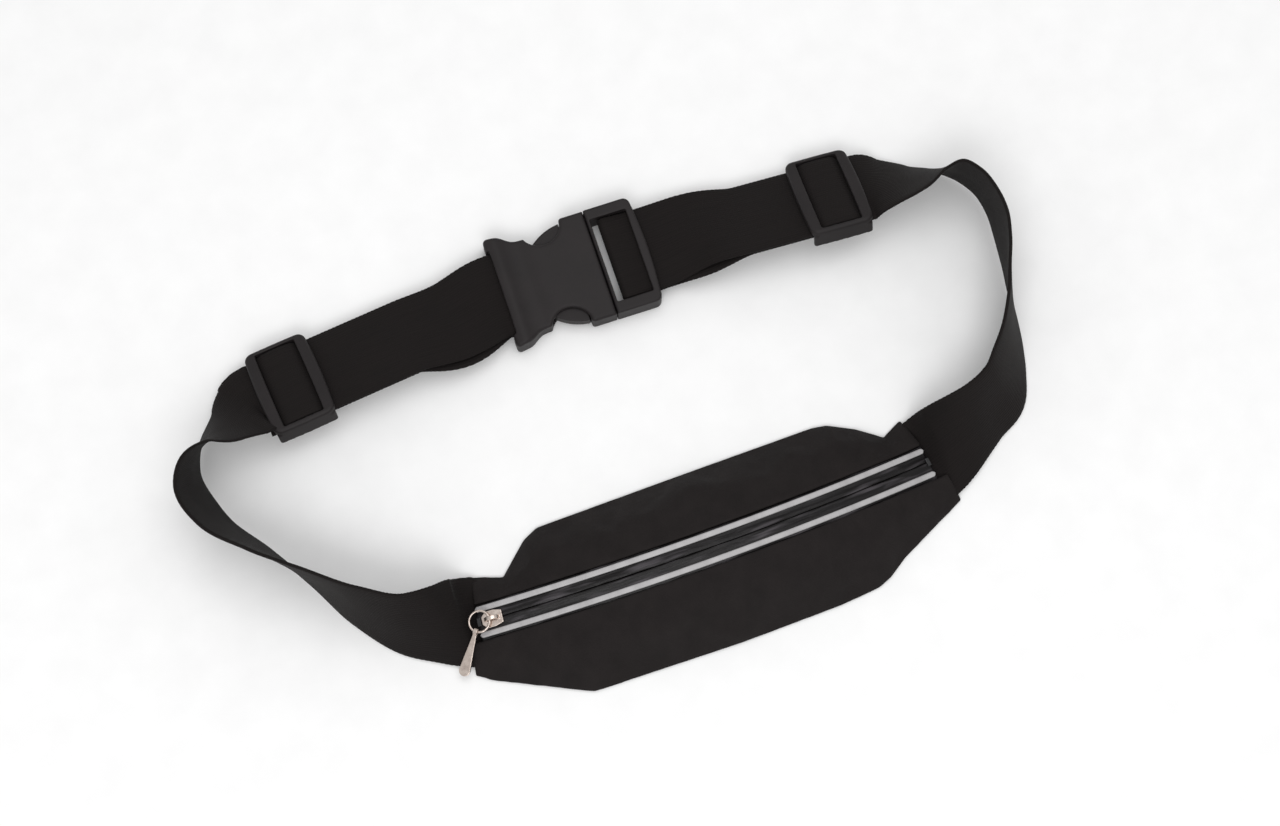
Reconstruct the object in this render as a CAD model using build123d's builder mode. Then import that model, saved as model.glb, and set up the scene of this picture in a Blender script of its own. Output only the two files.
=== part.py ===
from build123d import *
from math import asin, cos, degrees, radians, sin
import os

os.makedirs("parts", exist_ok=True)

# Slim waist pack on a stretch belt, lying on its back with the zip facing up.  Millimetres, +Z up.
# The origin is on the flat outer face of the back panel, midway between the two end tabs.
# X runs along the pouch, Y from the pouch towards the buckle.

# ---- driving dimensions -------------------------------------------------------------------------
WEB_WIDTH = 38.0          # elastic webbing
WEB_THICK = 1.4
FABRIC = 1.2              # panel fabric with its lining
TOP_OUTLINE = (           # pouch outline on the buckle's side: tabs, notches, shoulders, long edge
    (-108, 24.5), (-96, 21), (-84, 16.8), (-70.5, 29), (-64, 32), (0, 32.6),
    (60, 32.8), (66, 31.8), (77, 26), (87, 18.5), (95, 22.5), (108, 26),
)
BOTTOM_OUTLINE = (        # on the far side: long edge between two long chamfers
    (-108, -16.5), (-102, -21), (-71, -36.5), (-64, -39.8), (0, -41.6),
    (44, -41), (62, -39.4), (68, -37), (76, -31.6), (102, -19.1), (108, -16),
)
TAB_X = 101.5             # where the webbing is sewn on, at the middle of the tab
TAB_Y = 3.5
TAB_SKEW = 16.0           # degrees the tabs turn towards the buckle side
ZIP_HEIGHT = 20.0         # crest of the zip over the table
ZIP_RADIUS = 334.0        # the zip lies along an arc of this radius
ZIP_Y = -3.8              # the zip's crest, off the line through the tabs
ZIP_TILT = 21.5           # degrees the plane of that arc leans towards -Y
ZIP_LEAN = -21.5          # degrees the tape is turned about the arc, to lie in the pouch's front
ZIP_REACH = 100.0         # X of the zip's ends
PANEL_PROUD = 1.5         # how far the pouch's crest stands over the zip's centre line
TAPE_HALF = 8.5           # half width of the zip tape under the panels
COIL_GAP = 0.5            # half of the slit between the two coils
COIL_HALF = 1.9
COIL_THICK = 1.8
STRIP_IN = 4.2            # reflective strips, from the zip's centre line
STRIP_OUT = 6.6
SLIDER_X = 93.5           # rest position of the slider, at the closed end
BUCKLE_END = (-45.4, 132.4)   # strap end of the buckle's female half
BUCKLE_TURN = -1.5            # degrees from X
BUCKLE_THICK = 10.5
BUCKLE_LIFT = 0.2             # the buckle's underside over the table
FEMALE_LENGTH = 45.0
BUCKLE_LENGTH = 67.0
BUCKLE_HALF = 24.5            # half width over the mouth
BAR_HALF = 1.2                # radius of the bars that the webbing is looped round
FEMALE_BAR = 10.0             # from the strap end of the buckle
MALE_BAR = 52.4
MALE_BAR_RISE = 1.4           # that bar over the buckle's middle plane
RAIL_WIDTH = 4.0
GLIDE_LENGTH = 27.0           # tri-glide, along the webbing
GLIDE_HALF = 21.3             # half width, across the webbing
GLIDE_RAIL = 4.6
CLEAR = 0.3                   # running clearance between pieces
LEFT_GLIDE = (-141.5, 123.0)
RIGHT_GLIDE = (102.0, 124.5)
LEFT_GLIDE_ROLL = 16.0        # degrees that the webbing's inner edge is raised at the tri-glides
RIGHT_GLIDE_ROLL = 22.0
LEFT_TRAVEL = 38.0            # how far each tri-glide slides towards the buckle
RIGHT_TRAVEL = 24.0
# how far the upper and the under layer stray inwards, half way from tri-glide to buckle
LEFT_SWAY = (2.0, 5.0)
RIGHT_SWAY = (-2.0, 1.0)

UP = Vector(0, 0, 1)


def save(name, builder):
    builder.part.label = name
    export_step(builder.part, f"parts/{name}.step")


# ---- the arc of the zip -------------------------------------------------------------------------
ZIP_CROSS = Vector(0, cos(radians(ZIP_TILT)), sin(radians(ZIP_TILT)))
ZIP_UP = Vector(0, -sin(radians(ZIP_TILT)), cos(radians(ZIP_TILT)))
ZIP_CENTRE = Vector(0, ZIP_Y, ZIP_HEIGHT) - ZIP_UP * ZIP_RADIUS
ZIP_ANGLE = degrees(asin(ZIP_REACH / ZIP_RADIUS))


def zip_radial(angle):
    return Vector(1, 0, 0) * sin(radians(angle)) + ZIP_UP * cos(radians(angle))


def zip_point(angle):
    """The point of the zip's centre line at an angle in degrees from the crest."""
    return ZIP_CENTRE + zip_radial(angle) * ZIP_RADIUS


def zip_section(angle):
    """Plane square to the zip: local x is across the tape, local y is out of it."""
    along = Vector(1, 0, 0) * cos(radians(angle)) - ZIP_UP * sin(radians(angle))
    across = ZIP_CROSS * cos(radians(ZIP_LEAN)) + zip_radial(angle) * sin(radians(ZIP_LEAN))
    return Plane(origin=zip_point(angle), x_dir=across, z_dir=along)


def zip_ribbon(name, inner, outer, low, high, start=-ZIP_ANGLE, end=ZIP_ANGLE):
    """A strip that follows the zip, between two distances across it and two heights off it."""
    with BuildPart() as strip:
        with BuildSketch(zip_section(start)):
            with Locations(((inner + outer) / 2, (low + high) / 2)):
                Rectangle(abs(outer - inner), high - low)
        revolve(axis=Axis(ZIP_CENTRE, ZIP_CROSS), revolution_arc=end - start)
    save(name, strip)


for side, sign in (("upper", 1), ("lower", -1)):
    zip_ribbon(f"zip_tape_{side}", sign * (COIL_HALF + 0.1), sign * TAPE_HALF, -0.4, 0.4)
    zip_ribbon(f"zip_coil_{side}", sign * COIL_GAP, sign * COIL_HALF, -COIL_THICK / 2, COIL_THICK / 2)
    zip_ribbon(f"reflective_strip_{side}", sign * STRIP_IN, sign * STRIP_OUT, 0.45, 1.05)


# ---- pouch --------------------------------------------------------------------------------------
def outline_at(points, x):
    """Y of an outline at x, between its corners."""
    for (x0, y0), (x1, y1) in zip(points, points[1:]):
        if x <= x1:
            return y0 + (y1 - y0) * (x - x0) / (x1 - x0)
    return points[-1][1]


def crest(x):
    """Height of the pouch's section at x, which carries the zip."""
    return zip_point(degrees(asin(x / ZIP_RADIUS))).Z - FABRIC + PANEL_PROUD


POUCH_STATIONS = (
    -106, -102, -96, -84, -77, -70.5, -64, -42, -21, 0, 21, 44, 60, 66, 71, 77, 87, 95, 102, 106,
)


def pouch_body(shrink):
    """The domed body of the pouch above its back panel, made smaller all round by shrink."""
    with BuildPart() as body:
        for x in POUCH_STATIONS:
            low = outline_at(BOTTOM_OUTLINE, x) + shrink
            high = outline_at(TOP_OUTLINE, x) - shrink
            with BuildSketch(Plane.YZ.offset(x)):
                with BuildLine():
                    top = ((low + high) / 2, FABRIC + crest(x) - shrink)
                    Line((low, FABRIC), (high, FABRIC))
                    ThreePointArc((low, FABRIC), top, (high, FABRIC))
                make_face()
        loft(ruled=True)
    return body.part


def seam_planes(margin):
    """The two slanted end seams, moved inwards by margin; each normal points into the pouch."""
    planes = []
    for sign in (-1, 1):
        outward = Vector(sign * cos(radians(TAB_SKEW)), sin(radians(TAB_SKEW)), 0)
        planes.append(Plane(origin=Vector(sign * TAB_X, TAB_Y, 0) - outward * margin, z_dir=outward * -1))
    return planes


def cut_at_seams(margin):
    for plane in seam_planes(margin):
        split(bisect_by=plane, keep=Keep.TOP)


with BuildPart() as shell:
    add(pouch_body(0))
    add(pouch_body(FABRIC), mode=Mode.SUBTRACT)
    cut_at_seams(CLEAR)


def zip_band(half):
    """A tall solid over the zip, half wide on each side, that cuts the panels apart."""
    with BuildPart() as band:
        with BuildSketch(zip_section(-ZIP_ANGLE - 2)):
            Rectangle(2 * half, 60)
        revolve(axis=Axis(ZIP_CENTRE, ZIP_CROSS), revolution_arc=2 * ZIP_ANGLE + 4)
    return band.part


def front_panel(name, sign):
    half = TAPE_HALF + CLEAR
    with BuildPart() as panel:
        add(shell.part)
        add(zip_band(half), mode=Mode.SUBTRACT)
        with BuildSketch(zip_section(0).offset(-120)):
            with Locations((sign * (half + 40), 0)):
                Rectangle(80, 200)
        extrude(amount=240, mode=Mode.INTERSECT)
    save(name, panel)


front_panel("front_panel_upper", 1)
front_panel("front_panel_lower", -1)

with BuildPart() as back_panel:
    with BuildSketch(Plane.XY):
        with BuildLine():
            Polyline(
                *[(x, outline_at(TOP_OUTLINE, x)) for x in POUCH_STATIONS],
                *[(x, outline_at(BOTTOM_OUTLINE, x)) for x in reversed(POUCH_STATIONS)],
                close=True,
            )
        make_face()
    extrude(amount=FABRIC)
    cut_at_seams(CLEAR)
save("back_panel", back_panel)

for side, sign in (("left", -1), ("right", 1)):
    with BuildPart() as stop:
        angle = sign * (ZIP_ANGLE - 0.16)
        with BuildSketch(zip_section(angle).offset(-0.8)):
            with Locations((0, COIL_THICK / 2 + 0.55)):
                RectangleRounded(3.6, 0.9, 0.3)
        extrude(amount=1.6)
    save(f"zip_stop_{side}", stop)


# ---- zip slider and pull ------------------------------------------------------------------------
SLIDER_LENGTH = 9.0
SLIDER_HALF = 3.5
PLATE_TOP = 2.3
PLATE_THICK = 1.1
ARCH_TOP = 5.5
WIRE = 1.0
RING_RISE = 3.7           # height of the ring's wire over the zip's surface
slider_angle = -degrees(asin(SLIDER_X / ZIP_RADIUS))
slider_section = zip_section(slider_angle)
slider_up = slider_section.y_dir
slider_along = slider_section.z_dir
slider_flat = Plane(origin=slider_section.origin, x_dir=slider_along, z_dir=slider_up)

with BuildPart() as zip_slider:
    for bottom in (PLATE_TOP - PLATE_THICK, -PLATE_TOP):
        with BuildSketch(slider_flat.offset(bottom)):
            with BuildLine():
                nose = SLIDER_LENGTH / 2
                Polyline((-nose, 1.6), (-nose + 2, SLIDER_HALF), (1, SLIDER_HALF), (nose, 2.6), (nose, -2.6),
                         (1, -SLIDER_HALF), (-nose + 2, -SLIDER_HALF), (-nose, -1.6), close=True)
            make_face()
        extrude(amount=PLATE_THICK)
    with BuildSketch(slider_flat.offset(-PLATE_TOP + PLATE_THICK / 2)):
        with Locations((-SLIDER_LENGTH / 2 + 1.6, 0)):
            RectangleRounded(2.4, 2 * COIL_GAP - 0.4, 0.25)
    extrude(amount=2 * PLATE_TOP - PLATE_THICK)
    with BuildSketch(Plane(origin=slider_flat.origin, x_dir=slider_along, z_dir=slider_flat.y_dir * -1)):
        with Locations((0, PLATE_TOP + 0.2)):
            SlotOverall(6.4, 2 * (ARCH_TOP - PLATE_TOP - 0.2))
        with Locations((0, PLATE_TOP + 0.2)):
            SlotOverall(4.2, 2 * (ARCH_TOP - PLATE_TOP - 1.2), mode=Mode.SUBTRACT)
        with Locations((0, -7.6)):
            Rectangle(20, 20 - 0.6, mode=Mode.SUBTRACT)
    extrude(amount=0.8, both=True)
save("zip_slider", zip_slider)

# The ring is a round loop of wire through the arch; the tab has an eye round the ring's near side.
RING_RADIUS = 4.4
RING_PLACE = -0.8         # of the wire inside the arch, along the zip
ring_plane = slider_flat.offset(RING_RISE)
with BuildPart() as pull_ring:
    with BuildSketch(ring_plane.offset(-WIRE / 2)):
        with Locations((RING_PLACE - RING_RADIUS, 0)):
            Circle(RING_RADIUS + WIRE / 2)
            Circle(RING_RADIUS - WIRE / 2, mode=Mode.SUBTRACT)
    extrude(amount=WIRE)
    fillet(pull_ring.faces().filter_by(Axis(ring_plane.origin, slider_up)).edges(), radius=0.4)
save("pull_ring", pull_ring)

TAB_LENGTH = 19.0
TAB_THICK = 1.1
TAB_YAW = 33.0            # degrees that the tab hangs from square to the zip towards its closed end
TAB_DROOP = 7.0           # degrees that the tab leans down onto the pouch
EYE_HALF = 0.9
EYE_OUT = 1.4
EYE_BORE = 0.85
tab_away = slider_flat.y_dir * -cos(radians(TAB_YAW)) - slider_along * sin(radians(TAB_YAW))
eye_axis = slider_along * cos(radians(TAB_YAW)) - slider_flat.y_dir * sin(radians(TAB_YAW))
ring_centre = ring_plane.from_local_coords(Vector(RING_PLACE - RING_RADIUS, 0, 0))
tab_down = tab_away * cos(radians(TAB_DROOP)) - slider_up * sin(radians(TAB_DROOP))
tab_plane = Plane(origin=ring_centre + tab_away * RING_RADIUS, x_dir=tab_down, z_dir=eye_axis)
with BuildPart() as pull_tab:
    with BuildSketch(tab_plane.offset(-EYE_HALF)):
        Circle(EYE_OUT)
        with Locations((3.6, 0)):
            Rectangle(6.3, TAB_THICK)
        Circle(EYE_BORE, mode=Mode.SUBTRACT)
    extrude(amount=2 * EYE_HALF)
    tab_face = Plane(origin=tab_plane.origin, x_dir=tab_down, z_dir=tab_plane.y_dir)
    with BuildSketch(tab_face.offset(-TAB_THICK / 2)):
        with BuildLine():
            Line((2.2, -EYE_HALF), (TAB_LENGTH - 2.6, -2.4))
            ThreePointArc((TAB_LENGTH - 2.6, -2.4), (TAB_LENGTH, 0), (TAB_LENGTH - 2.6, 2.4))
            Line((TAB_LENGTH - 2.6, 2.4), (2.2, EYE_HALF))
            Line((2.2, EYE_HALF), (2.2, -EYE_HALF))
        make_face()
    extrude(amount=TAB_THICK)
save("pull_tab", pull_tab)


# ---- webbing ------------------------------------------------------------------------------------
# A station of the webbing is (x, y, roll, lift): the middle of the band, the degrees that its inner
# edge is raised, and the height of its lower edge over the table.
def refined(stations):
    """The stations with two more between each pair, on a smooth curve through them all."""
    fine = []
    for n in range(len(stations) - 1):
        around = [stations[min(max(k, 0), len(stations) - 1)] for k in (n - 1, n, n + 1, n + 2)]
        for t in (0, 1 / 3, 2 / 3):
            fine.append([between(*values, t) for values in zip(*around)])
    return fine + [stations[-1]]


def between(a, b, c, d, t):
    """The value at t from b to c of the curve through four evenly spaced values."""
    return b + t * (c - a + t * (2 * a - 5 * b + 4 * c - d + t * (3 * b - a - 3 * c + d))) / 2


def heading_planes(stations, first, last):
    """A plane across the webbing at each station: local x is across the band, local y out of its face."""
    planes = []
    for n, (x, y, roll, lift) in enumerate(stations):
        if n == 0:
            ahead = Vector(*first)
        elif n == len(stations) - 1:
            ahead = Vector(*last)
        else:
            before, after = stations[n - 1], stations[n + 1]
            ahead = Vector(after[0] - before[0], after[1] - before[1])
        planes.append(web_plane(Vector(x, y, lift + WEB_WIDTH / 2 * sin(radians(roll))), ahead, roll))
    return planes


def web_plane(origin, ahead, roll, drop=0.0):
    """The plane across a band that runs ahead at origin with its inner edge rolled up, sunk by drop."""
    ahead = Vector(ahead.X, ahead.Y, 0).normalized()
    inner = ahead.cross(UP)
    across = inner * cos(radians(roll)) + UP * sin(radians(roll))
    plane = Plane(origin=origin, x_dir=across, z_dir=ahead)
    out = across.cross(ahead)
    return Plane(origin=origin - out * drop, x_dir=across, z_dir=ahead)


def band(name, planes, width=WEB_WIDTH, thick=WEB_THICK):
    with BuildPart() as webbing:
        for plane in planes:
            with BuildSketch(plane):
                Rectangle(width, thick)
        loft(ruled=True)
    save(name, webbing)


def turn(x, y, angle):
    """A direction in the table's plane turned by angle degrees."""
    c, s = cos(radians(angle)), sin(radians(angle))
    return Vector(x * c - y * s, x * s + y * c)


# ---- buckle frame: u runs from the female half's strap end, v across, w up -------------------------
buckle_u = turn(1, 0, BUCKLE_TURN)
buckle_middle = BUCKLE_LIFT + BUCKLE_THICK / 2
buckle_flat = Plane(origin=(BUCKLE_END[0], BUCKLE_END[1], buckle_middle), x_dir=buckle_u, z_dir=UP)


def buckle_point(u, w=0.0):
    return buckle_flat.from_local_coords(Vector(u, 0, w))


LOOP_RISE = BAR_HALF + 0.1 + WEB_THICK / 2     # webbing's middle over and under the buckle's bars
TAIL_DROP = WEB_THICK + CLEAR                  # the tail lies this far under the upper layer


def glide_height(roll):
    """Height of the webbing's middle where the tri-glide's lowest corner just clears the table."""
    return (WEB_WIDTH / 2 - 0.5) * sin(radians(roll)) + 6.4 * cos(radians(roll)) + 0.3


def strap_loop(side, glide, roll, bar, rise, sign, travel, sway):
    """The doubled webbing between a tri-glide and the buckle; sign is +1 where it runs towards +X."""
    centre = Vector(glide[0], glide[1], glide_height(roll))
    bar_point = buckle_point(bar, rise)
    run = Vector(bar_point.X - centre.X, bar_point.Y - centre.Y).normalized()
    ahead = run * sign
    inwards = ahead.cross(UP)
    start = centre - run * (GLIDE_LENGTH / 2 + 2.5)
    straight_end = centre + run * (GLIDE_LENGTH / 2 + travel + 1.0)
    rail_end = buckle_point(-2.0 if sign > 0 else BUCKLE_LENGTH + 2.0, LOOP_RISE)
    rail_under = buckle_point(4.0 if sign > 0 else BUCKLE_LENGTH - 5.0, LOOP_RISE)
    bar_end = bar_point + UP * LOOP_RISE
    middle = (straight_end + rail_end) * 0.5
    upper = [
        web_plane(start, ahead, roll),
        web_plane(straight_end, ahead, roll),
        web_plane(middle + inwards * sway[0], ahead, roll * 0.5),
        web_plane(rail_end, buckle_u, 0),
        web_plane(rail_under, buckle_u, 0),
        web_plane(bar_end, buckle_u, 0),
    ]
    lower = [
        web_plane(centre + run * 3.4, ahead, roll, TAIL_DROP),
        web_plane(straight_end, ahead, roll, TAIL_DROP),
        web_plane(middle + inwards * sway[1], ahead, roll * 0.5, TAIL_DROP + 0.9),
        web_plane(rail_end, buckle_u, 0, 2 * LOOP_RISE),
        web_plane(rail_under, buckle_u, 0, 2 * LOOP_RISE),
        web_plane(bar_end, buckle_u, 0, 2 * LOOP_RISE),
    ]
    band(f"strap_{side}_loop", upper, width=WEB_WIDTH - 0.4)
    band(f"strap_{side}_tail", lower, width=WEB_WIDTH - 1.2)
    with BuildPart() as bend:
        cross = Plane(origin=bar_point, x_dir=buckle_u * sign, z_dir=buckle_flat.y_dir * -sign)
        with BuildSketch(cross):
            Circle(LOOP_RISE + WEB_THICK / 2)
            Circle(LOOP_RISE - WEB_THICK / 2, mode=Mode.SUBTRACT)
            with Locations((-10, 0)):
                Rectangle(20, 20, mode=Mode.SUBTRACT)
        extrude(amount=WEB_WIDTH / 2 - 0.6, both=True)
    save(f"strap_{side}_turn", bend)
    return centre, run, ahead, start


def tri_glide(side, centre, run, ahead, roll):
    """Two raised rails and a lower middle bar; the webbing passes under, over and under them."""
    across = web_plane(centre, ahead, roll).x_dir
    out = across.cross(ahead)
    flat = Plane(origin=centre, x_dir=run, z_dir=out)
    rail_low, rail_high = WEB_THICK / 2 + CLEAR, 4.1
    bar_top = -TAIL_DROP - WEB_THICK / 2 - 0.1
    bar_low = bar_top - 2.2
    half = GLIDE_LENGTH / 2
    with BuildPart() as glide:
        with BuildSketch(flat.offset(rail_low)):
            RectangleRounded(GLIDE_LENGTH, 2 * GLIDE_HALF, 3.2)
            Rectangle(GLIDE_LENGTH - 2 * GLIDE_RAIL, 2 * (WEB_WIDTH / 2 + 0.4), mode=Mode.SUBTRACT)
        extrude(amount=rail_high - rail_low)
        for sign in (-1, 1):
            with BuildSketch(flat.offset(bar_low)):
                with Locations((0, sign * (GLIDE_HALF + WEB_WIDTH / 2 + 0.4) / 2)):
                    RectangleRounded(GLIDE_LENGTH - 1, GLIDE_HALF - WEB_WIDTH / 2 - 0.4, 0.9)
            extrude(amount=rail_low - bar_low + 0.2)
        with BuildSketch(flat.offset(bar_low)):
            Rectangle(4.4, 2 * GLIDE_HALF - 2)
        extrude(amount=bar_top - bar_low)
        fillet(glide.faces().sort_by(Axis(centre, out))[-1].outer_wire().edges(), radius=1.3)
    save(f"tri_glide_{side}", glide)
    # the sewn end of the webbing, folded round the middle bar and back under the tail
    with BuildPart() as fold:
        section = Plane(origin=centre, x_dir=run, z_dir=run.cross(out))
        top = -TAIL_DROP
        low = bar_low - 0.1 - WEB_THICK / 2
        with BuildSketch(section):
            with BuildLine():
                Polyline((3.2, top), (-3.2, top), (-4.0, (top + low) / 2), (-3.2, low), (3.4, low),
                         (7.5, low + 1.2))
            trace(line_width=WEB_THICK)
        extrude(amount=WEB_WIDTH / 2 - 0.6, both=True)
    save(f"strap_{side}_fold", fold)


def strap_side(side, glide, roll, bar, rise, sign, travel, sway):
    centre, run, ahead, start = strap_loop(side, glide, roll, bar, rise, sign, travel, sway)
    tri_glide(side, centre, run, ahead, roll)
    return ahead, start


left_ahead, left_start = strap_side(
    "left", LEFT_GLIDE, LEFT_GLIDE_ROLL, FEMALE_BAR, 0, 1, LEFT_TRAVEL, LEFT_SWAY)
right_ahead, right_start = strap_side(
    "right", RIGHT_GLIDE, RIGHT_GLIDE_ROLL, MALE_BAR, MALE_BAR_RISE, -1, RIGHT_TRAVEL, RIGHT_SWAY)


def loop_station(start, roll):
    return (start.X, start.Y, roll, start.Z - WEB_WIDTH / 2 * sin(radians(roll)))


left_stations = [
    (-TAB_X, TAB_Y, 3, 2.2),
    (-107, 3.9, 20, 1.9),
    (-115, 5, 40, 1.5),
    (-129, 9.5, 58, 1),
    (-144, 22.5, 73, 1),
    (-159, 41, 89, 1),
    (-175, 59, 103, 1),
    (-188.5, 76, 108, 1),
    (-192.5, 91, 105, 1),
    (-190, 102, 90, 1),
    (-182, 110, 70, 2),
    (-171, 114.5, 46, 4),
    (-163.5, 118.5, 28, 5.5),
    loop_station(left_start, LEFT_GLIDE_ROLL),
]
right_stations = [
    loop_station(right_start, RIGHT_GLIDE_ROLL),
    (127, 121.5, 38, 3),
    (139, 119, 54, 1),
    (149, 118, 69, 1),
    (157, 115, 80, 1),
    (163, 107, 84, 1),
    (165.5, 97, 87, 1),
    (165.5, 86, 89, 1),
    (163, 74, 86, 1),
    (159, 62, 81, 1),
    (155, 49, 75, 1),
    (150.5, 37.5, 68, 1),
    (145.5, 28, 60, 1),
    (139, 18.5, 53, 1),
    (128, 12.5, 52, 1),
    (116, 7.5, 38, 1.5),
    (108, 5, 20, 1.9),
    (TAB_X, TAB_Y, 3, 2.2),
]
tab_in = (-cos(radians(TAB_SKEW)), -sin(radians(TAB_SKEW)))
tab_out = (-cos(radians(TAB_SKEW)), sin(radians(TAB_SKEW)))
left_planes = heading_planes(refined(left_stations), tab_out, (left_ahead.X, left_ahead.Y))
right_planes = heading_planes(refined(right_stations), (right_ahead.X, right_ahead.Y), tab_in)
band("strap_left", left_planes)
band("strap_right", right_planes)


# ---- side-release buckle ------------------------------------------------------------------------
WAIST_HALF = 20.6
CAVITY_HALF = 21.8
CAVITY_RISE = 3.1
COVER_LOW = LOOP_RISE + WEB_THICK / 2 + CLEAR     # underside of the rails over the webbing
PRONG_RISE = 2.7
WINDOW_START = FEMALE_LENGTH + 1.8
LIP_BACK = 1.6


def female_outline():
    """Half outline of the cover: flared end, waist, round side cut-out, mouth ring."""
    Line((0, 0), (0, 23.6))
    ThreePointArc((0, 23.6), (0.6, 24.8), (2.0, 25.2))
    Line((2.0, 25.2), (6.0, 24.6))
    Spline((6.0, 24.6), (11.5, 21.4), (17.0, WAIST_HALF), tangents=((1, -0.3), (1, 0)))
    ThreePointArc((17.0, WAIST_HALF), (25.5, 15.2), (34.0, BUCKLE_HALF - 0.6))
    Line((34.0, BUCKLE_HALF - 0.6), (35.0, BUCKLE_HALF))
    Line((35.0, BUCKLE_HALF), (FEMALE_LENGTH, BUCKLE_HALF))
    Line((FEMALE_LENGTH, BUCKLE_HALF), (FEMALE_LENGTH, 0))
    Line((FEMALE_LENGTH, 0), (0, 0))


def buckle_bar(u, rise):
    """Round bar across the webbing's window, rise over the buckle's middle plane."""
    with BuildSketch(Plane(origin=buckle_point(u, rise), x_dir=buckle_u, z_dir=buckle_flat.y_dir)) as end:
        Circle(BAR_HALF)
    extrude(end.sketch, amount=WEB_WIDTH / 2 + 1, both=True)


with BuildPart() as buckle_female:
    with BuildSketch(buckle_flat.offset(-BUCKLE_THICK / 2)):
        with BuildLine():
            female_outline()
        make_face()
        mirror(about=Plane.XZ)
    extrude(amount=BUCKLE_THICK)
    rims = buckle_female.faces().filter_by(Axis.Z)
    fillet(rims.edges(), radius=1.4)
    # cavity for the prongs, open at the mouth
    with BuildSketch(buckle_flat.offset(-CAVITY_RISE)):
        with Locations(((18 + FEMALE_LENGTH) / 2 + 1, 0)):
            Rectangle(FEMALE_LENGTH - 18 + 2, 2 * CAVITY_HALF)
    extrude(amount=2 * CAVITY_RISE, mode=Mode.SUBTRACT)
    # pocket for the webbing, open at the strap end and underneath
    with BuildSketch(buckle_flat.offset(-BUCKLE_THICK / 2)):
        with Locations((6.5, 0)):
            Rectangle(15.4, WEB_WIDTH + 0.8)
    extrude(amount=BUCKLE_THICK / 2 + COVER_LOW, mode=Mode.SUBTRACT)
    # the cover's lip is set back between the side walls
    with BuildSketch(buckle_flat.offset(-BUCKLE_THICK)):
        Rectangle(2 * LIP_BACK, WEB_WIDTH + 0.8)
    extrude(amount=2 * BUCKLE_THICK, mode=Mode.SUBTRACT)
    buckle_bar(FEMALE_BAR, 0)
save("buckle_female", buckle_female)

with BuildPart() as buckle_male:
    with BuildSketch(buckle_flat.offset(-BUCKLE_THICK / 2)):
        with BuildLine():
            corner = (BUCKLE_LENGTH - 1.6, BUCKLE_HALF)
            mouth = (FEMALE_LENGTH + CLEAR, BUCKLE_HALF)
            ThreePointArc((corner[0], -corner[1]), (BUCKLE_LENGTH, 0), corner)
            Line(corner, mouth)
            Line(mouth, (mouth[0], -mouth[1]))
            Line((mouth[0], -mouth[1]), (corner[0], -corner[1]))
        make_face()
    extrude(amount=BUCKLE_THICK)
    fillet(buckle_male.edges().filter_by(Axis.Z).group_by(Axis(buckle_flat.origin, buckle_u))[-1], radius=3.0)
    fillet(buckle_male.faces().filter_by(Axis.Z).edges(), radius=1.0)
    # window for the webbing, with the outer rail left over it
    with BuildSketch(buckle_flat.offset(-BUCKLE_THICK)):
        with Locations((WINDOW_START, 0)):
            Rectangle(
                BUCKLE_LENGTH - RAIL_WIDTH - WINDOW_START, WEB_WIDTH + 0.8, align=(Align.MIN, Align.CENTER)
            )
    extrude(amount=2 * BUCKLE_THICK, mode=Mode.SUBTRACT)
    with BuildSketch(buckle_flat.offset(-BUCKLE_THICK)):
        with Locations((WINDOW_START, 0)):
            Rectangle(BUCKLE_LENGTH, WEB_WIDTH + 0.8, align=(Align.MIN, Align.CENTER))
    extrude(amount=BUCKLE_THICK + COVER_LOW, mode=Mode.SUBTRACT)
    buckle_bar(MALE_BAR, MALE_BAR_RISE)
save("buckle_male", buckle_male)

with BuildPart() as buckle_tongue:
    with BuildSketch(buckle_flat.offset(-PRONG_RISE)):
        with Locations(((24 + FEMALE_LENGTH + CLEAR) / 2, 0)):
            RectangleRounded(FEMALE_LENGTH + CLEAR - 24, 6.5, 1.0)
    extrude(amount=2 * PRONG_RISE)
save("buckle_tongue", buckle_tongue)

PAD_START = 19.5
SHOULDER = 33.5
for side, sign in (("front", -1), ("back", 1)):
    with BuildPart() as prong:
        with BuildSketch(buckle_flat.offset(-PRONG_RISE)):
            with BuildLine():
                root = FEMALE_LENGTH
                Line((root, sign * 11.0), (root, sign * 15.0))
                Line((root, sign * 15.0), (SHOULDER + 1.5, sign * 17.0))
                Line((SHOULDER + 1.5, sign * 17.0), (SHOULDER, sign * 18.5))
                Line((SHOULDER, sign * 18.5), (SHOULDER, sign * 22.8))
                ThreePointArc((SHOULDER, sign * 22.8), (25.5, sign * 20.6), (PAD_START, sign * 16.6))
                ThreePointArc((PAD_START, sign * 16.6), (18.8, sign * 14.6), (PAD_START + 1, sign * 13.0))
                Spline((PAD_START + 1, sign * 13.0), (30.0, sign * 14.2), (root, sign * 11.0),
                       tangents=((1, 0), (1, -sign * 0.35)))
            make_face()
        extrude(amount=2 * PRONG_RISE)
    save(f"prong_{side}", prong)
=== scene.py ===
from math import asin, ceil, cos, pi, radians, sin, sqrt, tan

import bmesh
import bpy
import numpy as np
from mathutils import Matrix, Vector, noise

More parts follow.
